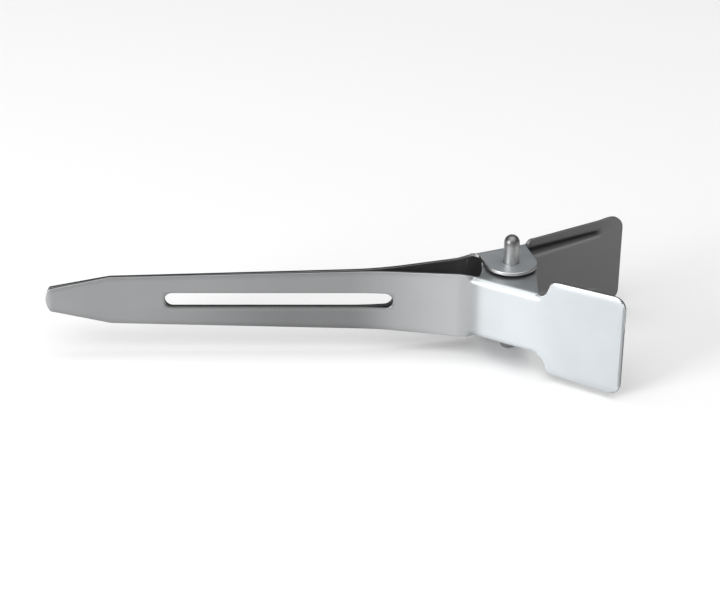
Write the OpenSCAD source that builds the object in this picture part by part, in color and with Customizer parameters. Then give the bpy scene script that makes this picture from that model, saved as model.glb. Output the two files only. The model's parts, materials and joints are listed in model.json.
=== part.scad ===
// Sectioning clip: two folded sheet-steel arms on one pivot pin, pushed shut by a torsion spring.
// The clip stands on its side edge: X runs from the tip to the finger tabs, Y across the two
// arms, and Z along the pivot pin.

/* [Sheet] */
// Thickness of the sheet that both arms are cut from
sheet_t = 0.6; // [0.5:0.05:0.8]
// Inside radius of the folds that carry the pivot ears
fold_r = 0.4; // [0.3:0.05:0.6]
// Gap between the two closed blades
jaw_gap = 0.1; // [0.05:0.05:0.3]

/* [Blades] */
// Length from the tip to the first bend
blade_len = 55.9; // [45:0.1:75]
// Width of the blades at the tip
tip_w = 4.2; // [3:0.1:6]
// Radius of the rounded tip
tip_r = 3.5; // [3.2:0.1:6]
// Length of the tapered point
taper_len = 10.9; // [6:0.1:15]
// Width where the tapered point ends
taper_w = 8.6; // [7:0.1:10.4]
// Width of the inner arm at the knee, where the arms turn away from each other
inner_knee_w = 11.55; // [11:0.05:14]
// Width of the outer arm at the knee
outer_knee_w = 11.95; // [11:0.05:14]
// Distance from the tip to the start of the long slot
slot_start = 20; // [14:0.1:28]
// Length of the long slot
slot_len = 38.5; // [10:0.1:46]
// Width of the long slot
slot_w = 2.7; // [2:0.1:4]

/* [Bends] */
// Length of the gentle rise between the first bend and the knee
rise_len = 13.7; // [10:0.1:18]
// Slope of the inner arm between the first bend and the knee, in degrees
inner_rise = 8.1; // [6:0.1:12]
// Slope of the inner arm's neck, in degrees
inner_neck = 31.6; // [29:0.1:34]
// Slope of the inner arm's finger tab, in degrees
inner_tab = 32.1; // [31:0.1:38]
// Slope of the outer arm between the first bend and the knee, in degrees
outer_rise = 13.2; // [10:0.1:15]
// Slope of the outer arm's handle, in degrees
outer_handle = 23.1; // [20:0.1:27]
// Radius of the soft first bend
rise_r = 42; // [30:1:60]
// Radius of the bend at the outer arm's knee
knee_r = 9.6; // [6:0.1:12]
// Radius of the bend at the inner arm's knee
inner_knee_r = 6.5; // [4:0.1:8]
// How much further from the tip the inner arm's knee is than the outer arm's
knee_shift = 1.4; // [0.6:0.1:1.8]
// Radius of the bend from the neck into the finger tab
tab_r = 15; // [8:0.5:20]

/* [Inner arm] */
// Distance from the outer arm's knee to the start of the neck
neck_start = 2.4; // [2:0.1:3]
// Width of the neck between the tab and the knee, over the folded ears
neck_w = 10.8; // [10.2:0.1:11.2]
// Length of the neck
neck_len = 9.8; // [9.5:0.1:12]
// Length of the curved shoulder between the neck and the tab
shoulder_len = 2.2; // [1.5:0.1:4]
// Width of the finger tab at its shoulder
tab_w = 16.8; // [14:0.1:20]
// Width of the finger tab at its end
tab_end_w = 17.3; // [15:0.1:20]
// Length of the finger tab beyond its shoulder
tab_len = 11; // [8:0.1:20]
// Radius of the corners of both finger tabs
corner_r = 2; // [1:0.1:3]
// Radius of the round end of the inner ears
ear_r = 4.2; // [3:0.1:4.4]

/* [Outer arm] */
// How much further the outer arm reaches than the inner arm
overhang = 3.9; // [0:0.1:6]
// Width of the outer handle just past the knee
handle_w = 12.35; // [11.9:0.05:13]
// Width of the outer handle where it leaves the lugs
handle_mid_w = 13.9; // [13:0.1:15]
// Width of the outer handle at its end
handle_end_w = 16.7; // [15:0.1:19]
// Gap between each inner ear and the lug outside it
lug_clear = 0.45; // [0.2:0.05:0.8]
// Radius of the round end of the lugs
lug_r = 4.4; // [3.5:0.1:5]
// How far ahead of the pin the lugs start on the handle
lug_before = 3.8; // [3.4:0.1:4.4]
// How far behind the pin the lugs end on the handle
lug_behind = 5.2; // [4.4:0.1:5.6]
// Radius of the two stiffening beads pressed into the handle
bead_r = 1.6; // [1.2:0.1:2]
// Depth of the beads where they start at the lugs
bead_depth = 0.45; // [0.2:0.05:0.6]
// Distance of the beads from the edge of the handle
bead_inset = 2.2; // [1.8:0.1:3]
// Length of the beads, measured from the pin
bead_len = 17; // [10:0.1:18]

/* [Pivot] */
// Distance from the knee to the pin
pin_back = 8.6; // [8:0.1:9.5]
// Distance of the pin from the plane where the blades meet, towards the outer arm
pin_side = 1.1; // [0.6:0.1:1.6]
// Diameter of the pin
pin_d = 2.6; // [1.8:0.05:3]
// How far the round head of the pin stands above the upper lug
pin_above = 4.9; // [0.5:0.1:6]
// How far the pin stands below the lower lug
pin_below = 3; // [2.6:0.1:5]
// Radial clearance of the pin in the lugs, which hold it still
seat_clear = 0.02; // [0.01:0.01:0.05]
// Radial clearance of the pin in the inner ears, which turn on it
turn_clear = 0.05; // [0.03:0.01:0.1]

/* [Spring] */
// Diameter of the spring wire
wire_d = 0.9; // [0.6:0.05:1]
// Whole turns of the coil, to which the legs add a half
coil_turns = 6; // [3:1:7]
// Radial gap between the pin and the inside of the coil
coil_gap = 0.35; // [0.2:0.05:0.5]
// Gap between the ends of the coil and the inner ears
coil_end_gap = 0.2; // [0.1:0.05:0.4]
// Gap between the spring's legs and the arms that they push on
leg_gap = 0.05; // [0.03:0.01:0.2]
// How far along each handle from the pin the spring's legs press on it
leg_reach = 4; // [2:0.1:6]

/* [Hidden] */

// Places along X, from the tip
knee_x = blade_len + rise_len;
inner_knee_x = knee_x + knee_shift;
neck_x = knee_x + neck_start;
neck_end_x = neck_x + neck_len;
tab_x = neck_end_x + shoulder_len;
inner_end_x = tab_x + tab_len;
outer_end_x = inner_end_x + overhang;
pin_x = knee_x + pin_back;

// Corners of the inside face of each arm, as [x, height, bend radius]; the inner arm is mirrored
face_y = jaw_gap / 2;
rise_y = face_y + (inner_knee_x - blade_len) * tan(inner_rise);
shoulder_y = rise_y + (neck_end_x - inner_knee_x) * tan(inner_neck);
inner_end_y = shoulder_y + (inner_end_x - neck_end_x) * tan(inner_tab);
inner_path = [[0, face_y, 0], [blade_len, face_y, rise_r], [inner_knee_x, rise_y, inner_knee_r],
              [neck_end_x, shoulder_y, tab_r], [inner_end_x, inner_end_y, 0]];
outer_knee_y = face_y + rise_len * tan(outer_rise);
outer_end_y = outer_knee_y + (outer_end_x - knee_x) * tan(outer_handle);
outer_path = [[0, face_y, 0], [blade_len, face_y, rise_r], [knee_x, outer_knee_y, knee_r],
              [outer_end_x, outer_end_y, 0]];

// Heights along Z from the middle of the clip
ear_z = neck_w / 2;
lug_z = ear_z + lug_clear + sheet_t;
pin_top = lug_z + pin_above;
pin_bottom = -lug_z - pin_below;
bend_r = sheet_t + fold_r;

// Distance from the pin to the inside face of the neck and of the outer handle
neck_dist = (rise_y + (pin_x - inner_knee_x) * tan(inner_neck) + pin_side) * cos(inner_neck);
handle_dist = (outer_knee_y + (pin_x - knee_x) * tan(outer_handle) - pin_side)
              * cos(outer_handle);

// The whole clip is moved so that its origin is the bottom centre of its box
low_y = -(inner_end_y + sheet_t * cos(inner_tab));
high_y = outer_end_y + sheet_t * cos(outer_handle);
origin = [outer_end_x / 2, (low_y + high_y) / 2, pin_bottom];

arc_steps = 6;
reach = 60;
cut = 0.25;

// --- Outlines ------------------------------------------------------------------------------

// Angle of the straight piece of a path that starts at corner i
function heading(path, i) =
    atan2(path[i + 1][1] - path[i][1], path[i + 1][0] - path[i][0]);

// Points of a bent line at a distance off to the left of the path, bends as arcs
function bent_line(path, off) = [
    for (i = [0 : len(path) - 1])
        let (
            a = heading(path, max(i - 1, 0)),
            b = heading(path, min(i, len(path) - 2)),
            t = path[i][2] * tan((b - a) / 2),
            cx = path[i][0] - t * cos(a) - path[i][2] * sin(a),
            cy = path[i][1] - t * sin(a) + path[i][2] * cos(a),
            n = b - a > 0.01 ? arc_steps : 0
        )
        for (k = [0 : n])
            let (h = a + (b - a) * k / max(n, 1), r = path[i][2] - off)
            n == 0 ? [path[i][0] - off * sin(a), path[i][1] + off * cos(a)]
                   : [cx + r * sin(h), cy - r * cos(h)]
];

function reversed(list) = [for (i = [len(list) - 1 : -1 : 0]) list[i]];

// Half outline of a blade from the tip to the knee, seen along Y
function blade_edge(knee_w) =
    let (half = tip_w / 2, sweep = asin(half / tip_r), back = tip_r)
    concat(
        [for (k = [0 : arc_steps])
            let (h = sweep * k / arc_steps) [back - tip_r * cos(h), tip_r * sin(h)]],
        [[taper_len, taper_w / 2], [knee_x, knee_w / 2]]
    );

// Rounded corner at the end of a handle, where its edge has half width w and slope a
function corner_edge(x, w, a) = [
    for (k = [0 : arc_steps])
        let (h = 90 + a - (90 + a) * k / arc_steps)
        [x - corner_r + corner_r * cos(h), w - corner_r + corner_r * sin(h)]
];

// Curved shoulder from the neck up to the tab
function shoulder_edge() = [
    for (k = [0 : arc_steps])
        let (u = k / arc_steps, s = u * u * (3 - 2 * u))
        [neck_end_x + shoulder_len * u, ear_z + (tab_w / 2 - ear_z) * s]
];

// Closed outline from a half outline that starts on the X axis
module mirrored_outline(edge) {
    polygon(concat(edge, reversed([for (p = edge) [p[0], -p[1]]])));
}

// Where the lugs start and end on the handle, seen along Y
lug_mid_x = pin_x - handle_dist * sin(outer_handle);
lug_from_x = lug_mid_x - lug_before * cos(outer_handle);
lug_to_x = lug_mid_x + lug_behind * cos(outer_handle);
handle_flare = atan2(handle_end_w - handle_mid_w, 2 * (outer_end_x - lug_to_x));

// --- Sheet shapes --------------------------------------------------------------------------

// A strip of sheet that follows a path, as deep along Z as any arm
module bent_strip(path) {
    linear_extrude(2 * reach, center = true)
        polygon(concat(bent_line(path, 0), reversed(bent_line(path, sheet_t))));
}

// What an outline drawn in X and Z cuts out of everything along Y
module along_y() {
    rotate([90, 0, 0])
        linear_extrude(2 * reach, center = true)
            children();
}

// The long slot of a blade
module slot_outline() {
    translate([slot_start + slot_w / 2, 0]) circle(d = slot_w, $fn = 48);
    translate([slot_start + slot_len - slot_w / 2, 0]) circle(d = slot_w, $fn = 48);
    translate([slot_start + slot_w / 2, -slot_w / 2]) square([slot_len - slot_w, slot_w]);
}

// Places its children at the pin, turned so that X runs along a handle with slope a
module at_pin(a) {
    translate([pin_x, pin_side, 0]) rotate([0, 0, a]) children();
}

// Cross-section of a channel in Y and Z: a web, two folds and two flanges towards -Y
module channel_section(web_y, half) {
    module shell(y, z, r) {
        translate([-z, y - reach]) square([2 * z, reach - r]);
        translate([-z + r, y - 2 * r]) square([2 * (z - r), 2 * r]);
        for (s = [-1, 1])
            translate([s * (z - r), y - r]) circle(r, $fn = 48);
    }
    difference() {
        shell(web_y + sheet_t, half, bend_r);
        shell(web_y, half - sheet_t, fold_r);
    }
}

// A channel along X whose web lies at distance web_y from the pin
module channel(web_y, half, from, to) {
    translate([from, 0, 0])
        rotate([0, 90, 0])
            linear_extrude(to - from)
                channel_section(web_y, half);
}

// Point where a line from p touches a circle of radius r round the pin
function touch(p, r, side) =
    let (d = norm(p), base = atan2(p[1], p[0]), h = base + side * acos(r / d))
    [r * cos(h), r * sin(h)];

// --- Pieces --------------------------------------------------------------------------------

module inner_outline() {
    relief = ear_z - bend_r - cut;
    mirrored_outline(concat(
        blade_edge(inner_knee_w),
        [[neck_x - cut, ear_z + cut / 2], [neck_x, ear_z], [neck_x + cut, ear_z],
         [neck_x + cut, relief], [neck_end_x - cut, relief], [neck_end_x - cut, ear_z]],
        shoulder_edge(),
        corner_edge(inner_end_x, tab_end_w / 2, 1)
    ));
}

// Inner arm: blade, neck with two ears that turn on the pin, and a finger tab
module inner_arm() {
    from_x = neck_x + cut / 2;
    from_y = rise_y + (from_x - inner_knee_x) * tan(inner_neck);
    ear_from = (from_x - pin_x) * cos(inner_neck) + (from_y + pin_side) * sin(inner_neck);
    ear_to = ear_from + (neck_len - cut) / cos(inner_neck);
    web = neck_dist;
    left = [ear_from, web + sheet_t / 2];
    right = [ear_to, web + sheet_t / 2];
    color("gainsboro")
    mirror([0, 1, 0])
    difference() {
        union() {
            difference() {
                intersection() {
                    bent_strip(inner_path);
                    along_y() inner_outline();
                }
                along_y() slot_outline();
            }
            translate([pin_x, -pin_side, 0])
            rotate([0, 0, inner_neck])
            intersection() {
                channel(web, ear_z, ear_from - ear_r, ear_to + ear_r);
                linear_extrude(2 * reach, center = true) {
                    circle(ear_r, $fn = 96);
                    polygon([touch(left, ear_r, 1), touch(right, ear_r, -1), right,
                             [ear_to, web + bend_r], [ear_from, web + bend_r], left]);
                }
            }
        }
        translate([pin_x, -pin_side, -reach])
            cylinder(h = 2 * reach, d = pin_d + 2 * turn_clear, $fn = 96);
    }
}

module outer_outline() {
    relief = lug_z - bend_r - cut;
    mirrored_outline(concat(
        blade_edge(outer_knee_w),
        [[neck_x, handle_w / 2], [lug_from_x + cut / 2, lug_z],
         [lug_from_x + cut / 2, relief], [lug_to_x - cut / 2, relief],
         [lug_to_x - cut / 2, handle_mid_w / 2]],
        corner_edge(outer_end_x, handle_end_w / 2, -handle_flare)
    ));
}

// Cylinder of radius r along one bead, from the lug to where it runs out of the sheet
module bead_rod(r) {
    start = lug_r / 2;
    start_z = (handle_mid_w / 2) - bead_inset - (lug_behind - start) * tan(handle_flare);
    run = bead_len - start;
    dip = atan2(bead_depth, run);
    translate([start, handle_dist + bead_depth - bead_r, start_z])
        rotate([0, -handle_flare, 0])
            rotate([0, 90, 0])
                rotate([dip, 0, 0])
                    cylinder(h = run + cut, r = r, $fn = 64);
}

// The sheet side of a bead, raised on the outside face
module bead_skin() {
    intersection() {
        bead_rod(bead_r + sheet_t);
        translate([0, handle_dist + sheet_t / 2, 0])
            cube([reach, reach, reach]);
    }
}

// Outer arm: blade, handle with two pressed beads, and two lugs that hold the pin
module outer_arm() {
    left = [-lug_before, handle_dist + sheet_t / 2];
    right = [lug_behind, handle_dist + sheet_t / 2];
    color("silver")
    difference() {
        union() {
            difference() {
                intersection() {
                    bent_strip(outer_path);
                    along_y() outer_outline();
                }
                along_y() slot_outline();
            }
            at_pin(outer_handle)
            intersection() {
                channel(handle_dist, lug_z, -2 * lug_r, 2 * lug_r);
                linear_extrude(2 * reach, center = true) {
                    circle(lug_r, $fn = 96);
                    polygon([touch(left, lug_r, 1), touch(right, lug_r, -1), right,
                             [lug_behind, handle_dist + bend_r],
                             [-lug_before, handle_dist + bend_r], left]);
                }
            }
            at_pin(outer_handle)
                for (side = [0, 1])
                    mirror([0, 0, side]) bead_skin();
        }
        at_pin(outer_handle)
            for (side = [0, 1])
                mirror([0, 0, side]) bead_rod(bead_r);
        translate([pin_x, pin_side, -reach])
            cylinder(h = 2 * reach, d = pin_d + 2 * seat_clear, $fn = 96);
    }
}

// Pivot pin with a round head and a slightly rounded foot
module pivot_pin() {
    r = pin_d / 2;
    foot = 0.4;
    head = [for (k = [0 : arc_steps]) let (h = 90 * k / arc_steps)
            [r * cos(h), pin_top - r + r * sin(h)]];
    color("darkgray")
    translate([pin_x, pin_side, 0])
        rotate_extrude($fn = 96)
            polygon(concat([[0, pin_bottom], [r - foot, pin_bottom], [r, pin_bottom + foot]],
                           head));
}

// --- Torsion spring --------------------------------------------------------------------------

coil_r = pin_d / 2 + coil_gap + wire_d / 2;
coil_z = ear_z - sheet_t - coil_end_gap - wire_d / 2;
outer_leg_end = [leg_reach, handle_dist - wire_d / 2 - leg_gap];
inner_leg_end = [leg_reach, neck_dist - wire_d / 2 - leg_gap];
turn_steps = 20;

// Angle, against its handle, of a straight leg from the coil to the point end
function leg_angle(end) = atan2(end[1], end[0]) - asin(coil_r / norm(end));

// Length of that leg
function leg_length(end) = sqrt(norm(end) ^ 2 - coil_r ^ 2);

// Point where a leg with angle h ends, which leaves the coil at angle from
function leg_tip(end, h, from, z) =
    let (len = leg_length(end))
    [coil_r * cos(from) + len * cos(h), coil_r * sin(from) + len * sin(h), z];

// Centre line of the wire: outer leg, coil, inner leg
function wire_line() =
    let (
        a = outer_handle + leg_angle(outer_leg_end),
        b = -(inner_neck + leg_angle(inner_leg_end)),
        from = a + 90,
        to = b - 90 + 360 * (coil_turns + 1),
        n = ceil((to - from) / 360 * turn_steps)
    )
    concat(
        [leg_tip(outer_leg_end, a, from, -coil_z)],
        [for (k = [0 : n])
            let (h = from + (to - from) * k / n, z = -coil_z + 2 * coil_z * k / n)
            [coil_r * cos(h), coil_r * sin(h), z]],
        [leg_tip(inner_leg_end, b, to, coil_z)]
    );

function unit(v) = v / norm(v);

// A ring of points round the wire at point i, one side of the ring always facing Z
function wire_ring(line, i, sides) =
    let (
        d = unit(line[min(i + 1, len(line) - 1)] - line[max(i - 1, 0)]),
        u = unit(cross([0, 0, 1], d)),
        v = cross(d, u)
    )
    [for (k = [0 : sides - 1])
        let (h = 360 * k / sides) line[i] + wire_d / 2 * (u * cos(h) + v * sin(h))];

// Torsion spring: a coil round the pin, one leg against each handle
module torsion_spring() {
    sides = 10;
    line = wire_line();
    n = len(line);
    points = [for (i = [0 : n - 1]) each wire_ring(line, i, sides)];
    walls = [for (i = [0 : n - 2], k = [0 : sides - 1])
        let (j = (k + 1) % sides)
        [i * sides + k, (i + 1) * sides + k, (i + 1) * sides + j, i * sides + j]];
    ends = [[for (k = [0 : sides - 1]) k],
            [for (k = [sides - 1 : -1 : 0]) (n - 1) * sides + k]];
    color("dimgray")
    translate([pin_x, pin_side, 0])
        polyhedron(points, concat(walls, ends), convexity = 12);
}

// --- Drawing ---------------------------------------------------------------------------------

module placed() { translate(-origin) children(); }

placed() inner_arm();
placed() outer_arm();
placed() pivot_pin();
placed() torsion_spring();
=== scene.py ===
# %% [markdown]
# A sectioning clip is what a hairdresser parks a lock of hair with: two long sheet-steel arms on
# one pin, pushed shut by a hidden spring. Its shape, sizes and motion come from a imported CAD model.
# This lesson gives it its looks. The CAD arms are exact but crisp and square-edged, so each arm is
# made again the way a press shop makes it: cut a flat blank, press the beads, fold the ears, bend
# the sheet, then give it thickness and tumbled edges.

# %% Load the frame
import bmesh
import bpy
import json
import math
from mathutils import Matrix, Vector


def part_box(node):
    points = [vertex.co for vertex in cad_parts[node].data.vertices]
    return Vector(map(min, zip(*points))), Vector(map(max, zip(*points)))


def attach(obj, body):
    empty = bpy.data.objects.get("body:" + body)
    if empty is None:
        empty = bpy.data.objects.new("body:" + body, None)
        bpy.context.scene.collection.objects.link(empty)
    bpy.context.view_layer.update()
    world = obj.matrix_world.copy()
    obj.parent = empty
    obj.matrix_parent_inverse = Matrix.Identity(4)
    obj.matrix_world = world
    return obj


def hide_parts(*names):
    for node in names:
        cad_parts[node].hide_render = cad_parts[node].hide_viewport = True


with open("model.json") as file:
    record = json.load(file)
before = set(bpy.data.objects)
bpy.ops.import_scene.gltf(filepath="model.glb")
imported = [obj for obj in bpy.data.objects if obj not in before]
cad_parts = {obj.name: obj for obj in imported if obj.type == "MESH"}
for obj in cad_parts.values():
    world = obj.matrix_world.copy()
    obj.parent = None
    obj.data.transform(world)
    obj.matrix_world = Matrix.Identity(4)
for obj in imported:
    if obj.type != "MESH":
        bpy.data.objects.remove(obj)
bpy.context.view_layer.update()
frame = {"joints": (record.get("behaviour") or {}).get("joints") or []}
scene = bpy.context.scene

# %% [markdown]
# The sheet is drawn in millimetres from the tip of the blades, where X runs to the finger tabs and
# Z along the pin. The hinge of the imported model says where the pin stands, so one shift carries
# everything that is drawn here onto the CAD model.

# %% Sizes of the pressed parts, in millimetres
MM = 0.001
SHEET = 0.6
FOLD_R = 0.4
JAW_GAP = 0.1
PIN_X, PIN_SIDE = 78.2, 1.1
PIN_D = 2.6
NECK_HALF, LUG_HALF = 5.4, 6.45
EAR_R, LUG_R = 4.2, 4.4
KNEE_X, INNER_KNEE_X, NECK_X, NECK_END_X = 69.6, 71.0, 72.0, 81.8
BEND_X, INNER_END_X, OUTER_END_X = 55.9, 95.0, 98.9

hinge = Vector(frame["joints"][0]["pos_m"])
arm_low, arm_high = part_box("outer_arm")
hinge.z = (arm_low[2] + arm_high[2]) / 2
shift = hinge / MM - Vector((PIN_X, PIN_SIDE, 0))
print("shift from the drawing to the frame", [round(v, 3) for v in shift], "mm")

# %% [markdown]
# The camera looks along +Y from 27 degrees above the clip, through a lens long enough to keep the
# arms almost parallel. It aims 25 mm ahead of the pin.

# %% Camera
VIEW_ELEVATION = math.radians(27.03)
VIEW_DISTANCE = 0.2948
aim = hinge + Vector((-0.02529, -0.00118, -0.00016))
back = Vector((0, -math.cos(VIEW_ELEVATION), math.sin(VIEW_ELEVATION)))
camera = bpy.data.objects.new("camera", bpy.data.cameras.new("camera"))
scene.collection.objects.link(camera)
camera.location = aim + back * VIEW_DISTANCE
camera.rotation_mode = "QUATERNION"
camera.rotation_quaternion = (-back).to_track_quat("-Z", "Y")
camera.data.sensor_width = 36
camera.data.lens = 87.5
camera.data.clip_start, camera.data.clip_end = 0.01, 20
scene.camera = camera
print("camera", round(VIEW_DISTANCE * 1000), "mm from its aim, lens", camera.data.lens, "mm")

# %% [markdown]
# Shader maths reads best as plain arithmetic. A small class wraps a socket, so that an expression
# such as 1 - mask * 0.3 adds the Math nodes by itself. A second helper adds any other node.

# %% Shader helpers
class Wire:
    def __init__(self, tree, socket):
        self.tree, self.socket = tree, socket

    def math(self, operation, *values):
        node = self.tree.nodes.new("ShaderNodeMath")
        node.operation = operation
        for slot, value in zip(node.inputs, values):
            plug(self.tree, slot, value)
        return Wire(self.tree, node.outputs[0])

    def __add__(self, other):
        return self.math("ADD", self, other)

    def __radd__(self, other):
        return self.math("ADD", other, self)

    def __sub__(self, other):
        return self.math("SUBTRACT", self, other)

    def __rsub__(self, other):
        return self.math("SUBTRACT", other, self)

    def __mul__(self, other):
        return self.math("MULTIPLY", self, other)

    def __rmul__(self, other):
        return self.math("MULTIPLY", other, self)


def plug(tree, slot, value):
    if isinstance(value, Wire):
        tree.links.new(value.socket, slot)
    else:
        slot.default_value = value


class Finish:
    """A material that is being wired: node() adds a node and returns one of its outputs."""
    def __init__(self, name):
        self.material = bpy.data.materials.new(name)
        self.material.use_nodes = True
        self.tree = self.material.node_tree
        self.shader = self.tree.nodes["Principled BSDF"]

    def node(self, kind, settings=None, stops=None, out=0, **values):
        node = self.tree.nodes.new(kind)
        for key, value in (settings or {}).items():
            setattr(node, key, value)
        if stops:
            ramp = node.color_ramp
            while len(ramp.elements) < len(stops):
                ramp.elements.new(0.5)
            for element, (place, tone) in zip(ramp.elements, stops):
                element.position, element.color = place, (tone, tone, tone, 1)
        for key, value in values.items():
            index = int(key[1:]) if key[1:].isdigit() else key.replace("_", " ")
            plug(self.tree, node.inputs[index], value)
        return Wire(self.tree, node.outputs[out])

    def set(self, **values):
        for key, value in values.items():
            plug(self.tree, self.shader.inputs[key.replace("_", " ")], value)


# %% [markdown]
# The clip's sheet is nickel-plated steel. Tumbling leaves it satin: reflections are wide and soft,
# with faint grain along the blade and fine clouding. The neck and handles are painted brighter than
# the blades, as painted highlight, and the inside faces are painted dark, as painted shade.

# %% Sheet steel
def steel(name, tone, roughness, tint=(1, 1, 1), grain=1.0, painted_shading=1.0):
    """Satin metal; tone is one grey, or a list of (place along X in mm, grey) pairs."""
    finish = Finish(name)
    place = finish.node("ShaderNodeTexCoord", out=3)
    stretched = finish.node("ShaderNodeMapping", Vector=place, Scale=(250, 4000, 4000))
    streaks = finish.node("ShaderNodeTexNoise", Vector=stretched, Scale=1.0, Detail=3.0)
    clouds = finish.node("ShaderNodeTexNoise", Vector=place, Scale=160.0, Detail=3.0)
    specks = finish.node("ShaderNodeTexNoise", Vector=place, Scale=5200.0, Detail=2.0)
    # This attribute holds painted shade and painted highlights, and the last argument scales them.
    shade_and_highlight = finish.node("ShaderNodeAttribute", {"attribute_name": "shade_and_highlight"}, out=2)
    if isinstance(tone, list):
        tone = tone_along(finish, place, tone)
    mottle = (clouds - 0.5) * 0.10 + (streaks - 0.5) * 0.06 * grain
    tone = tone * (1 + shade_and_highlight * painted_shading) * (1 + mottle)
    east = finish.node("ShaderNodeSeparateXYZ", Vector=place)
    handle = finish.node("ShaderNodeMapRange", Value=east, From_Min=0.020, From_Max=0.025)
    white = finish.node("ShaderNodeMix", {"data_type": "RGBA"}, out=2, i0=handle,
                        i6=(0.975, 0.985, 1, 1), i7=(*tint, 1))
    colour = finish.node("ShaderNodeMix", {"data_type": "RGBA"}, out=2, i0=tone,
                         i6=(0, 0, 0, 1), i7=white)
    bump = finish.node("ShaderNodeBump", Height=streaks * 0.7 * grain + specks * 0.3,
                       Strength=0.10, Distance=0.00002)
    finish.set(Base_Color=colour, Metallic=1.0, Normal=bump,
               Roughness=roughness + (clouds - 0.5) * 0.12 + (streaks - 0.5) * 0.06)
    return finish.material


# Painted shade: the blade's grey is darkened towards its long edges and along its lower half.
BORDER_SHADE, LOW_SHADE = 0.16, 0.28
BLADE_SLOPE, BLADE_HALF = 0.0251, 4.02
POINT_SLOPE, POINT_HALF = 0.216, 1.95


def tone_along(finish, place, pairs):
    """Painted light along the arm: a grey that changes along it, with painted shade towards the long
    edges of the blade and along its lower half.
    """
    east = finish.node("ShaderNodeSeparateXYZ", Vector=place)
    up = finish.node("ShaderNodeSeparateXYZ", out=2, Vector=place)
    along = (east - shift.x * MM) * 1000
    height = (up - shift.z * MM) * 1000
    stops = [(x / INNER_END_X, grey) for x, grey in pairs]
    tone = finish.node("ShaderNodeValToRGB", stops=stops, Fac=along * (1 / INNER_END_X))
    blade_half = along * BLADE_SLOPE + BLADE_HALF
    half = blade_half.math("MINIMUM", blade_half, along * POINT_SLOPE + POINT_HALF)
    size = height.math("ABSOLUTE", height)
    border = finish.node("ShaderNodeMapRange", {"interpolation_type": "SMOOTHSTEP"},
                         Value=half - size, From_Min=0.0, From_Max=1.1,
                         To_Min=BORDER_SHADE, To_Max=0.0)
    low = finish.node("ShaderNodeMapRange", {"interpolation_type": "SMOOTHSTEP"},
                      Value=0 - height, From_Min=0.8, From_Max=2.2, To_Min=0.0, To_Max=LOW_SHADE)
    blade = finish.node("ShaderNodeMapRange", Value=along, From_Min=62.0, From_Max=69.0,
                        To_Min=1.0, To_Max=0.0)
    swell = finish.node("ShaderNodeMapRange", {"interpolation_type": "SMOOTHSTEP"},
                        Value=along, From_Min=12.0, From_Max=42.0)
    ebb = finish.node("ShaderNodeMapRange", {"interpolation_type": "SMOOTHSTEP"},
                      Value=along, From_Min=51.0, From_Max=60.0, To_Min=1.0, To_Max=0.0)
    return tone * (1 - blade * (border + low * swell * ebb))


# Painted light: the grey rises from the blade to a painted highlight over the knee, neck and tab,
# with a painted dark band just before the neck.
painted_light_along_arm = [(0.0, 0.52), (1.2, 0.35), (9, 0.34), (25, 0.35), (41, 0.32), (51, 0.33),
                (58, 0.40), (62, 0.45), (65.5, 0.50), (67.5, 0.51), (69, 0.51), (70.5, 0.43),
                (71.5, 0.39), (72.2, 0.44), (72.8, 0.60), (73.6, 0.68), (77, 0.69),
                (81, 0.69), (84, 0.66), (88, 0.62), (95, 0.61)]
# The cut edges' grey is painted light: painted highlights on the rims of the ears and the lug,
# painted shade on the outer arm's blade and slot walls and on the inner tab's rim.
inner_edge_painted_light = [(0, 0.30), (70, 0.30), (73, 0.45), (81, 0.45), (84, 0.17), (95, 0.17)]
outer_edge_painted_light = [(0, 0.08), (60, 0.08), (70, 0.16), (73.8, 0.25), (75, 0.65), (79, 0.65),
              (81, 0.30), (95, 0.30)]
cool = (0.925, 0.97, 1.0)
inner_face = steel("inner_arm_face", painted_light_along_arm, 0.46, tint=cool)
outer_face = steel("outer_arm_face", painted_light_along_arm, 0.46, tint=cool, painted_shading=-0.15)
# Painted shade: the inside faces of both arms get a dark grey of their own.
inside = steel("sheet_steel_inside_painted_shade", 0.18, 0.5)
# The inner arm's cut edge takes the painted shade and highlight of the attribute reversed.
inner_cut = steel("inner_arm_cut_edge", inner_edge_painted_light, 0.45, painted_shading=-1.2)
outer_cut = steel("outer_arm_cut_edge", outer_edge_painted_light, 0.45)
for made in (inner_face, outer_face, inside, inner_cut, outer_cut):
    print("finish", made.name)

# %% [markdown]
# The pin is turned and polished a little smoother than the sheet, so it shows one narrow bright
# line. The spring is drawn wire, darker and duller.

# %% Pin steel and spring wire
pin_steel = steel("turned_pin", 0.30, 0.42, grain=0.3)
wire_steel = steel("drawn_wire", 0.22, 0.4, grain=0.3)
print("finishes", pin_steel.name, "and", wire_steel.name)

# %% [markdown]
# A bent sheet is simplest as a walk: straight runs and arcs, one after the other. Given a distance
# along the sheet, walk() says where that point of the inside face lies and which way it heads.

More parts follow.
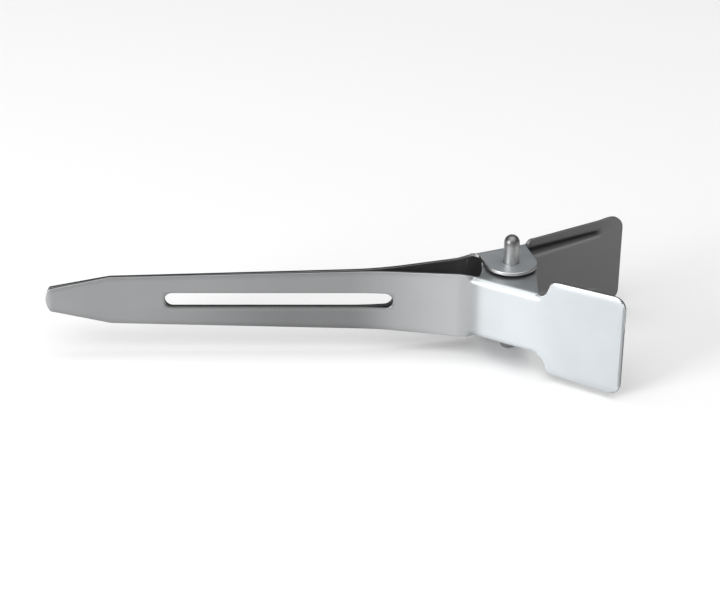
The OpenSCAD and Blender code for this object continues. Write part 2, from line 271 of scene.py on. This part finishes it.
# %% Walking along a bent sheet
class Path:
    """A line of straight runs that meet in arcs, drawn from its corners' X and its slopes."""
    def __init__(self, corner_x, slopes, radii, end_x):
        angles = [0.0] + [math.radians(s) for s in slopes]
        xs = [0.0, *corner_x, end_x]
        runs = [(xs[i + 1] - xs[i]) / math.cos(angles[i]) for i in range(len(angles))]
        turns = [angles[i + 1] - angles[i] for i in range(len(slopes))]
        tangents = [0.0] + [r * math.tan(t / 2) for r, t in zip(radii, turns)] + [0.0]
        self.pieces = []
        for i, run in enumerate(runs):
            self.pieces.append((run - tangents[i] - tangents[i + 1], 0.0))
            if i < len(turns):
                self.pieces.append((radii[i] * turns[i], 1 / radii[i]))
        self.length = sum(length for length, _ in self.pieces)

    def walk(self, distance):
        x, y, heading = 0.0, JAW_GAP / 2, 0.0
        for length, curve in self.pieces:
            step = min(distance, length)
            if curve:
                after = heading + step * curve
                x += (math.sin(after) - math.sin(heading)) / curve
                y += (math.cos(heading) - math.cos(after)) / curve
                heading = after
            else:
                x += step * math.cos(heading)
                y += step * math.sin(heading)
            distance -= step
            if distance <= 0:
                break
        return x, y, heading

    def find(self, test):
        """The distance at which test(x, y, heading) turns from negative to positive."""
        low, high = 0.0, self.length
        for _ in range(50):
            middle = (low + high) / 2
            if test(*self.walk(middle)) < 0:
                low = middle
            else:
                high = middle
        return low

    def at_x(self, goal):
        return self.find(lambda x, y, heading: x - goal)

    def foot(self, px, py):
        """The distance at which the sheet passes the point (px, py), and how far from it."""
        u = self.find(lambda x, y, h: (x - px) * math.cos(h) + (y - py) * math.sin(h))
        x, y, _ = self.walk(u)
        return u, math.hypot(x - px, y - py)


INNER_NECK, OUTER_HANDLE = 31.6, 23.1
inner_path = Path([BEND_X, INNER_KNEE_X, NECK_END_X], [8.1, INNER_NECK, 32.1], [42, 6.5, 15],
                  INNER_END_X)
outer_path = Path([BEND_X, KNEE_X], [13.2, OUTER_HANDLE], [42, 9.6], OUTER_END_X)
print("sheet lengths", round(inner_path.length, 2), round(outer_path.length, 2), "mm")

# %% [markdown]
# An outline is drawn like pen on paper: lines, and round stretches that spin a point about a centre.
# Only the upper half is drawn, and a mirror makes the other half, so the blank is symmetrical.

# %% Drawing a blank
class Pen:
    def __init__(self, bm, u, z):
        self.bm = bm
        self.tip = bm.verts.new((u, z, 0))

    def line(self, u, z):
        made = bmesh.ops.extrude_vert_indiv(self.bm, verts=[self.tip])
        self.tip = made["verts"][0]
        self.tip.co = (u, z, 0)

    def round(self, centre, degrees, steps):
        made = bmesh.ops.spin(self.bm, geom=[self.tip], cent=(*centre, 0), axis=(0, 0, 1),
                              angle=math.radians(degrees), steps=steps)
        self.tip = [g for g in made["geom_last"] if isinstance(g, bmesh.types.BMVert)][0]


def mirror_across(bm, geometry):
    """Adds a mirrored copy below the middle line and joins it."""
    bmesh.ops.mirror(bm, geom=geometry, axis="Y", merge_dist=1e-4)
    bmesh.ops.remove_doubles(bm, verts=bm.verts[:], dist=1e-4)


SLOT_START, SLOT_LENGTH, SLOT_R = 20.0, 38.5, 1.35


def draw_slot(bm):
    """A long slot with round ends, drawn as its upper half and mirrored with the outline."""
    pen = Pen(bm, SLOT_START, 0)
    pen.round((SLOT_START + SLOT_R, 0), -90, 8)
    pen.line(SLOT_START + SLOT_LENGTH - SLOT_R, SLOT_R)
    pen.round((SLOT_START + SLOT_LENGTH - SLOT_R, 0), -90, 8)


def slot_shading(u, z):
    """Painted shade around the edge of the slot, which the inner arm's cut edge takes reversed as a
    painted highlight.
    """
    low, high = SLOT_START + SLOT_R, SLOT_START + SLOT_LENGTH - SLOT_R
    along = u - min(max(u, low), high)
    return -0.35 if math.hypot(along, z) < SLOT_R + 0.02 else 0.0


POINT_CORNER = ((10.4, -0.08), (10.9, 0.0), (11.6, 0.03))


def draw_blade(pen, path, taper_half, knee_half):
    """The rounded tip, the tapered point and the long edge to the knee."""
    tip_r, tip_half = 3.5, 2.1
    sweep = math.degrees(math.asin(tip_half / tip_r))
    pen.round((tip_r, 0), -sweep, 6)
    for u, rise in POINT_CORNER:
        pen.line(u, taper_half + rise)
    pen.line(path.at_x(KNEE_X), knee_half)


def fill_blank(bm):
    bmesh.ops.triangle_fill(bm, use_beauty=True, edges=bm.edges[:], normal=(0, 0, 1))
    area = sum(f.calc_area() for f in bm.faces)
    print("blank of", round(area, 1), "mm2")


def split(bm, faces, point, normal):
    """Cuts these faces with a plane and marks the cut as a seam."""
    geometry = {item for f in faces for item in (f, *f.verts, *f.edges)}
    cut = bmesh.ops.bisect_plane(bm, geom=list(geometry), dist=1e-4, plane_co=point,
                                 plane_no=normal)["geom_cut"]
    for item in cut:
        if isinstance(item, bmesh.types.BMEdge):
            item.seam = True


def keep_seams(bm):
    """Dissolves every edge of the flat blank but its outline and the marked cuts."""
    bmesh.ops.dissolve_limit(bm, angle_limit=0.002, use_dissolve_boundaries=False,
                             verts=bm.verts[:], edges=bm.edges[:], delimit={"SEAM"})
    print("cut into", len(bm.faces), "faces")


def snap(place, marks, reach):
    """The nearest mark if it lies within reach, else the place itself."""
    nearest = min(marks, key=lambda mark: abs(mark - place))
    return nearest if abs(nearest - place) < reach else place


def cut_across(bm, places, flap):
    """Cuts the blank at these distances from the tip, and finely round its folds."""
    corners = [v.co.x for v in bm.verts]
    blends = (steps_between(flap.start - BLEND, flap.start, 0.25)
              + steps_between(flap.end, flap.end + BLEND, 0.25))
    blends = [snap(place, corners, 0.12) for place in blends]
    for place in blends:
        split(bm, bm.faces, (place, 0, 0), (1, 0, 0))
    fold = steps_between(flap.fold, flap.fold + FOLD_LENGTH, 0.13)
    cut_along(bm, [fold[0] - 0.25, *fold], flap.start - BLEND, flap.end + BLEND)
    cut_along(bm, [flap.beside], flap.start, flap.end)
    for place in places:
        place = snap(place, corners, 0.2)
        if snap(place, blends, 0.28) in blends:
            continue
        faces = [f for f in bm.faces if not flap.is_top(f.calc_center_bounds())]
        split(bm, faces, (place, 0, 0), (1, 0, 0))


def cut_along(bm, rows, low, high):
    """Cuts one stretch of the blank lengthways, on both sides of its middle line."""
    for row in [*rows, *(-row for row in rows)]:
        faces = [f for f in bm.faces if low < f.calc_center_bounds().x < high]
        split(bm, faces, (0, row, 0), (0, 1, 0))


def steps_between(low, high, step):
    count = max(1, round((high - low) / step))
    return [low + (high - low) * i / count for i in range(count + 1)]


print("slot", SLOT_LENGTH, "x", 2 * SLOT_R, "mm")

# %% [markdown]
# Both arms carry two flaps that fold up to hold the pin. In the flat blank a flap stands beside the
# neck, and its round end sits as far out as the pin is away, once the fold has taken its share. Past
# each end of a flap the fold runs out smoothly into the flat border.

# %% Flaps for the ears and lugs
def smooth(value):
    value = max(0.0, min(1.0, value))
    return value * value * (3 - 2 * value)


FOLD_LENGTH = math.pi / 2 * FOLD_R
BLEND, CREASE_R = 1.5, 0.5
print("each fold takes", round(FOLD_LENGTH, 3), "mm of sheet")


class Flap:
    def __init__(self, path, half, radius, border, base):
        sign = 1 if path is outer_path else -1
        self.foot, self.drop = path.foot(PIN_X, sign * PIN_SIDE)
        self.fold = half - SHEET - FOLD_R
        self.centre = self.fold + FOLD_LENGTH + self.drop - FOLD_R
        self.radius, self.beside = radius, border + CREASE_R
        self.start, self.end = base(self.foot)

    def touch(self, u, side):
        """Where a line from the side of the flap, at u, touches its round end."""
        du, dz = u - self.foot, self.beside - self.centre
        lean = math.acos(self.radius / math.hypot(du, dz))
        return math.atan2(dz, du) - side * lean

    def draw(self, pen):
        """Draws the flap with the pen, from the border before it to the border after it."""
        pen.line(self.start - CREASE_R, self.beside - CREASE_R)
        pen.round((self.start - CREASE_R, self.beside), 90, 3)
        left = self.touch(self.start, 1) % math.tau
        right = self.touch(self.end, -1)
        pen.line(self.foot + self.radius * math.cos(left),
                 self.centre + self.radius * math.sin(left))
        pen.round((self.foot, self.centre), math.degrees(right - left), 48)
        pen.line(self.end, self.beside)
        pen.round((self.end + CREASE_R, self.beside), 90, 3)

    def draw_hole(self, bm, radius):
        spot = Matrix.Translation((self.foot, self.centre, 0))
        return bmesh.ops.create_circle(bm, segments=48, radius=radius, matrix=spot)["verts"]

    def share(self, u, z):
        """1 where the sheet is folded up square, 0 where it is flat, and between them a blend."""
        if abs(z) <= self.fold:
            return 0.0
        if u < self.foot and abs(z) > self.beside + 0.01:
            return 1.0
        beyond = max(self.start - u, u - self.end, 0.0)
        return smooth(1 - beyond / BLEND)

    def is_top(self, centre):
        return self.share(*centre.xy) == 1 and abs(centre.y) > self.fold + FOLD_LENGTH


# %% [markdown]
# Forming moves each point of the flat blank to its place on the bent arm. Its relief, which is the
# pressed beads and the slightly turned-down borders, pushes it off the sheet first; the fold lifts
# the flaps; and the walk along the path bends everything.

# %% Forming and finishing a sheet
def form(bm, path, flap, relief, painted_shading, sign):
    shade_and_highlight = bm.verts.layers.float.new("shade_and_highlight")
    for vert in bm.verts:
        u, z = vert.co.x, vert.co.y
        # Each point gets its painted shade or painted highlight from the function passed in.
        vert[shade_and_highlight] = painted_shading(u, abs(z))
        drop, across = -relief(u, abs(z)), z
        share = flap.share(u, z)
        if share > 0:
            past = abs(z) - flap.fold
            curve = share / FOLD_R
            angle = min(past, FOLD_LENGTH) * curve
            rest = max(past - FOLD_LENGTH, 0)
            across = flap.fold + math.sin(angle) / curve + rest * math.cos(angle)
            across = math.copysign(across, z)
            drop += (1 - math.cos(angle)) / curve + rest * math.sin(angle)
        x, y, heading = path.walk(u)
        x += drop * math.sin(heading)
        y -= drop * math.cos(heading)
        vert.co = (Vector((x, sign * y, across)) + shift) * MM


def finish_sheet(name, bm, sign, face, cut_edge, node, body, edge=0.19):
    """Makes the formed blank an object with thickness, tumbled edges and its finishes."""
    bmesh.ops.remove_doubles(bm, verts=bm.verts[:], dist=0.03 * MM)
    bm.normal_update()
    blade_side = sum(f.normal.y * f.calc_area() for f in bm.faces)
    if blade_side * sign < 0:
        bmesh.ops.reverse_faces(bm, faces=bm.faces[:])
    mesh = bpy.data.meshes.new(name)
    bm.to_mesh(mesh)
    bm.free()
    mesh.materials.append(face)
    mesh.materials.append(inside)
    mesh.materials.append(cut_edge)
    mesh.shade_smooth()
    piece = bpy.data.objects.new(name, mesh)
    scene.collection.objects.link(piece)
    wall = piece.modifiers.new("thickness", "SOLIDIFY")
    wall.thickness = SHEET * MM
    wall.offset = 1
    wall.use_even_offset = True
    wall.material_offset = 1
    wall.material_offset_rim = 2
    tumbled = piece.modifiers.new("tumbled_edges", "BEVEL")
    tumbled.width = edge * MM
    tumbled.segments = 3
    tumbled.limit_method = "ANGLE"
    tumbled.angle_limit = math.radians(50)
    tumbled.use_clamp_overlap = False
    tumbled.harden_normals = True
    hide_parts(node)
    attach(piece, body)
    print(name, len(mesh.vertices), "points before the thickness")


# %% [markdown]
# The inner arm is the one that moves: a blade, a neck with two ears that turn on the pin, a curved
# shoulder and a finger tab whose border is turned down by a hair, so that it is kind to the fingers.

# %% Inner arm
inner_bm = bmesh.new()
ear_from, ear_to = inner_path.at_x(NECK_X + 0.2), inner_path.at_x(NECK_END_X - 0.4)
ear = Flap(inner_path, NECK_HALF, EAR_R, NECK_HALF - 0.1, lambda foot: (ear_from, ear_to))
draw_slot(inner_bm)
pen = Pen(inner_bm, 0, 0)
INNER_POINT_HALF, INNER_KNEE_HALF, NECK_START_HALF = 4.3, 5.775, 5.68
draw_blade(pen, inner_path, INNER_POINT_HALF, INNER_KNEE_HALF)
pen.line(inner_path.at_x(NECK_X - 1.0), NECK_START_HALF)
ear.draw(pen)
print("ears", round(ear.end - ear.start, 2), "mm long, bore", round(ear.drop, 2), "mm off the sheet")

# %% [markdown]
# The shoulder climbs in an arc of 70 degrees, runs on straight and ends in a small round corner of
# the tab. The tab widens slightly to its end, where both corners are rounded to 2 mm.

# %% Inner arm's tab, and its forming
TAB_HALF, TAB_END_HALF, CORNER_R = 8.4, 8.65, 2.0
SHOULDER_R, SHOULDER_TURN, TAB_CORNER_R = 2.0, math.radians(70), 0.8
shoulder, shoulder_z = ear.end + CREASE_R, NECK_HALF - 0.1
pen.round((shoulder, shoulder_z + SHOULDER_R), math.degrees(SHOULDER_TURN), 10)
lift = 1 - math.cos(SHOULDER_TURN)
climb = TAB_HALF - shoulder_z - (SHOULDER_R + TAB_CORNER_R) * lift
flank = shoulder + climb / math.tan(SHOULDER_TURN)
pen.line(flank + SHOULDER_R * math.sin(SHOULDER_TURN), TAB_HALF - TAB_CORNER_R * lift)
tab_corner = flank + (SHOULDER_R + TAB_CORNER_R) * math.sin(SHOULDER_TURN)
pen.round((tab_corner, TAB_HALF - TAB_CORNER_R), -math.degrees(SHOULDER_TURN), 6)
TAB_X = 84.05
tab_u = inner_path.at_x(TAB_X)
inner_end = inner_path.length
pen.line(inner_end - CORNER_R, TAB_END_HALF)
pen.round((inner_end - CORNER_R, TAB_END_HALF - CORNER_R), -90, 8)
pen.line(inner_end, 0)
ear.draw_hole(inner_bm, PIN_D / 2 + 0.05)
mirror_across(inner_bm, inner_bm.verts[:] + inner_bm.edges[:])
fill_blank(inner_bm)

# The last value is painted shade on the tops of the ears.
BORDER, BORDER_DROP, EAR_SHADING = 1.0, 0.11, -0.3


def tab_border(u, z):
    """How far the border of the inner arm's tab is turned down at this point of the blank."""
    if u < shoulder or z > TAB_END_HALF + 1:
        return 0.0
    grown = TAB_HALF + (TAB_END_HALF - TAB_HALF) * (u - tab_u) / (inner_end - tab_u)
    from_side = grown - z if u > tab_u else BORDER
    from_end = inner_end - u
    inset_u, inset_z = CORNER_R - from_end, CORNER_R - from_side
    if inset_u > 0 and inset_z > 0:
        edge = CORNER_R - math.hypot(inset_u, inset_z)
    else:
        edge = min(from_side, from_end)
    fade_in = smooth((u - tab_u) / 1.2)
    return BORDER_DROP * fade_in * max(0.0, 1 - edge / BORDER) ** 2


def tab_shading(u, z):
    """Painted highlight along the tab's turned-down border and painted shade on the ears' tops, with
    the slot's; the cut edge takes them reversed.
    """
    if ear.start < u < ear.end and z > ear.fold + FOLD_LENGTH + 0.2:
        return EAR_SHADING
    return slot_shading(u, z) + 0.07 * tab_border(u, z) / BORDER_DROP


def grid_places(path, fine_from, fine_step):
    """Cutting places along a blank: few on the flat blade, many where it bends or is pressed."""
    bend = SLOT_START + SLOT_LENGTH + 0.35
    early = path.at_x(BEND_X - 4)
    blade = [2, 6, 9, 13, 16.5, SLOT_START - 0.35, *steps_between(SLOT_START + 1, early, 4)]
    return (blade[:-1] + steps_between(early, bend, 0.5)[:-1]
            + steps_between(bend, fine_from, 0.5)[:-1]
            + steps_between(fine_from, path.length - 0.2, fine_step))


cut_across(inner_bm, grid_places(inner_path, inner_path.at_x(KNEE_X - 3), 0.4), ear)
cut_along(inner_bm, [3.5], SLOT_START + SLOT_LENGTH + 0.4, inner_end)
cut_along(inner_bm, [1.65], SLOT_START - 0.4, SLOT_START + SLOT_LENGTH + 0.4)
cut_along(inner_bm, [6.0, *steps_between(6.9, 8.2, 0.22)], tab_u, inner_end)
keep_seams(inner_bm)
form(inner_bm, inner_path, ear, lambda u, z: -tab_border(u, z), tab_shading, -1)
finish_sheet("inner_arm_pressed", inner_bm, -1, inner_face, inner_cut, "inner_arm", "inner_half")

# %% [markdown]
# The outer arm stays still. Its handle flares to the end and is stiffened by two pressed beads, one
# along each edge: grooves on the inside, low ridges on the outside, deep at the lugs and running
# out before the end.

# %% Outer arm
outer_bm = bmesh.new()
LUG_BEFORE, LUG_BEHIND = 3.8, 5.2
lug = Flap(outer_path, LUG_HALF, LUG_R, LUG_HALF,
           lambda foot: (foot - LUG_BEFORE, foot + LUG_BEHIND))
draw_slot(outer_bm)
pen = Pen(outer_bm, 0, 0)
OUTER_POINT_HALF, OUTER_KNEE_HALF, LUG_START_HALF, LUG_END_HALF = 4.1, 5.9, 6.17, 6.9
draw_blade(pen, outer_path, OUTER_POINT_HALF, OUTER_KNEE_HALF)
pen.line(outer_path.at_x(NECK_X), LUG_START_HALF)
lug.draw(pen)
pen.line(lug.end + 1.6, LUG_END_HALF)
outer_end = outer_path.length
OUTER_HALF, OUTER_CORNER_R, FLARE_END_X = 8.34, 2.4, 94.6
for x, half in ((FLARE_END_X, 8.02), (95.8, 8.26), (96.4, OUTER_HALF)):
    pen.line(outer_path.at_x(x), half)
pen.line(outer_end - OUTER_CORNER_R, OUTER_HALF)
pen.round((outer_end - OUTER_CORNER_R, OUTER_HALF - OUTER_CORNER_R), -90, 10)
pen.line(outer_end, 0)
lug.draw_hole(outer_bm, PIN_D / 2 + 0.02)
mirror_across(outer_bm, outer_bm.verts[:] + outer_bm.edges[:])
fill_blank(outer_bm)

BEAD_START, BEAD_END = lug.end, lug.foot + 21
# The second value here is painted shade on the lug's top and rim.
BEAD_DEPTH, LUG_SHADING = 0.45, -0.1
BORDER_HALF, BORDER_FLARE, BEAD_INSET = 6.78, 1.24, 2.05
BEAD_HALF, BEAD_NARROWING = 1.05, 0.45


def bead_place(u, z):
    """Share of the bead's length that is run, and how far z is from its middle, as a share."""
    run = (u - BEAD_START) / (BEAD_END - BEAD_START)
    edge = BORDER_HALF + BORDER_FLARE * (u - lug.end) / (outer_path.at_x(FLARE_END_X) - lug.end)
    half_width = BEAD_HALF - BEAD_NARROWING * run
    return run, (z - edge + BEAD_INSET) / half_width


def bead(u, z):
    """Depth of the stiffening bead at this point of the blank."""
    run, off = bead_place(u, z)
    if not 0 < run < 1 or abs(off) > 1:
        return 0.0
    depth = BEAD_DEPTH * (1 - 0.3 * run) * smooth((1 - run) * 7) * smooth(run * 20)
    return depth * 0.5 * (1 + math.cos(math.pi * off))


def bead_shading(u, z):
    """Painted shade in the groove and on the strip beside it, a painted highlight on its lower lip,
    and painted shade on the lug.
    """
    run, off = bead_place(u, z)
    if abs(z) > lug.beside and u < lug.end:
        return LUG_SHADING
    if run < 0:
        return slot_shading(u, z)
    outside_strip = -0.18 * smooth(off)
    if run > 0.8:
        outside_strip *= smooth((1.2 - run) * 2.5)
    if run > 1:
        return outside_strip
    lip = 0.5 * math.exp(-((off + 1.25) * 3) ** 2)
    groove = 0.9 * math.exp(-((off - 0.1) * 1.5) ** 2)
    return outside_strip + smooth((1 - run) * 9) * (lip - groove)


cut_across(outer_bm, grid_places(outer_path, outer_path.at_x(KNEE_X - 3), 0.4), lug)
cut_along(outer_bm, [3.5], SLOT_START + SLOT_LENGTH + 0.4, lug.end)
cut_along(outer_bm, [1.65], SLOT_START - 0.4, SLOT_START + SLOT_LENGTH + 0.4)
cut_along(outer_bm, steps_between(2.6, 5.0, 0.24), lug.end, outer_end)
cut_along(outer_bm, steps_between(5.24, 6.2, 0.24), lug.end + BLEND, outer_end)
cut_along(outer_bm, [6.45, 6.7, 6.95, 7.2], outer_path.at_x(88), outer_end)
keep_seams(outer_bm)
form(outer_bm, outer_path, lug, bead, bead_shading, 1)
finish_sheet("outer_arm_pressed", outer_bm, 1, outer_face, outer_cut, "outer_arm", "outer_half",
             edge=0.13)

# %% [markdown]
# The pin is a turned part, so one half of its outline is spun a full turn about the hinge axis. Its
# head is a dome and its foot has a small chamfer.

# %% Pivot pin
pin_low, pin_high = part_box("pivot_pin")
pin_bm = bmesh.new()
shade_and_highlight = pin_bm.verts.layers.float.new("shade_and_highlight")
r = PIN_D / 2
top, bottom = pin_high[2] / MM, pin_low[2] / MM
centre = hinge / MM
profile = [(0, bottom), (r - 0.45, bottom), (r - 0.15, bottom + 0.12), (r, bottom + 0.4),
           (r, top - r - 0.6), (r, top - r)]
verts = [pin_bm.verts.new((centre.x + x, centre.y, z)) for x, z in profile]
edges = [pin_bm.edges.new(pair) for pair in zip(verts, verts[1:])]
bmesh.ops.spin(pin_bm, geom=[verts[-1]], cent=(centre.x, centre.y, top - r), axis=(0, -1, 0),
               angle=math.radians(90), steps=10)
profile_geometry = pin_bm.verts[:] + pin_bm.edges[:]
bmesh.ops.spin(pin_bm, geom=profile_geometry, cent=centre, axis=(0, 0, 1),
               angle=math.tau, steps=64, use_merge=True)
bmesh.ops.remove_doubles(pin_bm, verts=pin_bm.verts[:], dist=1e-4)
bmesh.ops.recalc_face_normals(pin_bm, faces=pin_bm.faces[:])
# Painted light: the domed head is painted darker and the shank lighter.
for vert in pin_bm.verts:
    vert[shade_and_highlight] = -0.3 if vert.co.z > top - r - 0.3 else 0.3
bmesh.ops.scale(pin_bm, vec=(MM, MM, MM), verts=pin_bm.verts[:])


def plain_piece(name, bm, finish, node, body):
    mesh = bpy.data.meshes.new(name)
    bm.to_mesh(mesh)
    bm.free()
    mesh.materials.append(finish)
    mesh.shade_smooth()
    piece = bpy.data.objects.new(name, mesh)
    scene.collection.objects.link(piece)
    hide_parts(node)
    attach(piece, body)
    print(name, len(mesh.polygons), "faces")


plain_piece("pivot_pin_turned", pin_bm, pin_steel, "pivot_pin", "outer_half")

# %% [markdown]
# The spring is one wire: a straight leg towards the outer handle, a little over six turns round the
# pin, and a straight leg towards the inner neck. A ring is spun about the pin with a small climb at
# each step, which coils it, and each end is drawn out straight.

# %% Torsion spring
WIRE_D, COIL_GAP, COIL_END_GAP, COIL_TURNS = 0.9, 0.35, 0.2, 6
LEG_GAP, LEG_REACH = 0.05, 4.0
coil_r = PIN_D / 2 + COIL_GAP + WIRE_D / 2
coil_z = NECK_HALF - SHEET - COIL_END_GAP - WIRE_D / 2


def leg(drop):
    """Angle against its handle, and length, of a leg that ends close under the sheet."""
    end = Vector((LEG_REACH, drop - WIRE_D / 2 - LEG_GAP))
    angle = math.atan2(end.y, end.x) - math.asin(coil_r / end.length)
    return angle, math.sqrt(end.length ** 2 - coil_r ** 2)


outer_angle, outer_leg = leg(lug.drop)
inner_angle, inner_leg = leg(ear.drop)
leave = math.radians(OUTER_HANDLE) + outer_angle
arrive = -(math.radians(INNER_NECK) + inner_angle)
from_angle = leave + math.pi / 2
sweep = arrive - math.pi / 2 + math.tau * (COIL_TURNS + 1) - from_angle
steps = round(sweep / math.tau * 32)
wire = math.hypot(sweep * coil_r, 2 * coil_z) + outer_leg + inner_leg
print("spring of", round(sweep / math.tau, 2), "turns,", round(wire, 1), "mm of wire")

spring_bm = bmesh.new()
start = centre + Vector((coil_r * math.cos(from_angle), coil_r * math.sin(from_angle), -coil_z))
facing = Matrix.Rotation(from_angle, 4, "Z") @ Matrix.Rotation(math.pi / 2, 4, "X")
ring = bmesh.ops.create_circle(spring_bm, segments=16, radius=WIRE_D / 2,
                               matrix=Matrix.Translation(start) @ facing)
edges = spring_bm.edges[:]
coil = bmesh.ops.spin(spring_bm, geom=ring["verts"] + edges, cent=centre, axis=(0, 0, 1),
                      dvec=(0, 0, 2 * coil_z / steps), angle=sweep, steps=steps)
last = [g for g in coil["geom_last"] if isinstance(g, bmesh.types.BMEdge)]


def draw_leg(edges, direction, length):
    made = bmesh.ops.extrude_edge_only(spring_bm, edges=edges)["geom"]
    verts = [g for g in made if isinstance(g, bmesh.types.BMVert)]
    along = Vector((math.cos(direction), math.sin(direction), 0)) * length
    bmesh.ops.translate(spring_bm, vec=along, verts=verts)


draw_leg(edges, leave, outer_leg)
draw_leg(last, arrive, inner_leg)
bmesh.ops.holes_fill(spring_bm, edges=[e for e in spring_bm.edges if e.is_boundary], sides=0)
bmesh.ops.recalc_face_normals(spring_bm, faces=spring_bm.faces[:])
rims = [e for e in spring_bm.edges if e.calc_face_angle() > 1]
bmesh.ops.bevel(spring_bm, geom=rims, offset=0.1, segments=2, affect="EDGES", profile=0.5,
                material=-1)
bmesh.ops.scale(spring_bm, vec=(MM, MM, MM), verts=spring_bm.verts[:])
plain_piece("torsion_spring_coiled", spring_bm, wire_steel, "torsion_spring", "outer_half")

# %% [markdown]
# The stage is a plain pale floor, matt like a sheet of seamless paper, so that nothing but the clip's
# own shadow shows on it.

# %% Floor
floor_bm = bmesh.new()
bmesh.ops.create_grid(floor_bm, x_segments=1, y_segments=1, size=4)
floor_mesh = bpy.data.meshes.new("floor")
floor_bm.to_mesh(floor_mesh)
floor_bm.free()
floor = bpy.data.objects.new("floor", floor_mesh)
scene.collection.objects.link(floor)
paint = Finish("floor_paint")
paint.set(Base_Color=(0.92, 0.92, 0.92, 1), Roughness=1.0, Specular_IOR_Level=0.0)
floor_mesh.materials.append(paint.material)
print("floor at", round(floor.location.z * 1000, 2), "mm")

# %% [markdown]
# Three soft lights do: a low key from the front left, which the handle catches, a broad light from
# above for the floor and the folded edges, and an even sky that fills the shadows.

# %% Lamps and sky
def soft_lamp(name, place, size, power):
    light = bpy.data.lights.new(name, "AREA")
    light.shape = "RECTANGLE"
    light.size, light.size_y = size
    light.energy = power
    lamp = bpy.data.objects.new(name, light)
    scene.collection.objects.link(lamp)
    lamp.location = place
    lamp.rotation_mode = "QUATERNION"
    lamp.rotation_quaternion = (hinge - Vector(place)).to_track_quat("-Z", "Y")
    print(name, power, "W")


soft_lamp("key", (-0.55, -0.42, 0.2), (0.3, 0.25), 4.0)
soft_lamp("overhead", (0.0, -0.3, 1.4), (2.2, 2.2), 28)
sky = bpy.data.worlds.new("sky")
sky.use_nodes = True
sky.node_tree.nodes["Background"].inputs["Color"].default_value = (0.14, 0.14, 0.14, 1)
scene.world = sky
scene.view_settings.view_transform = "Standard"
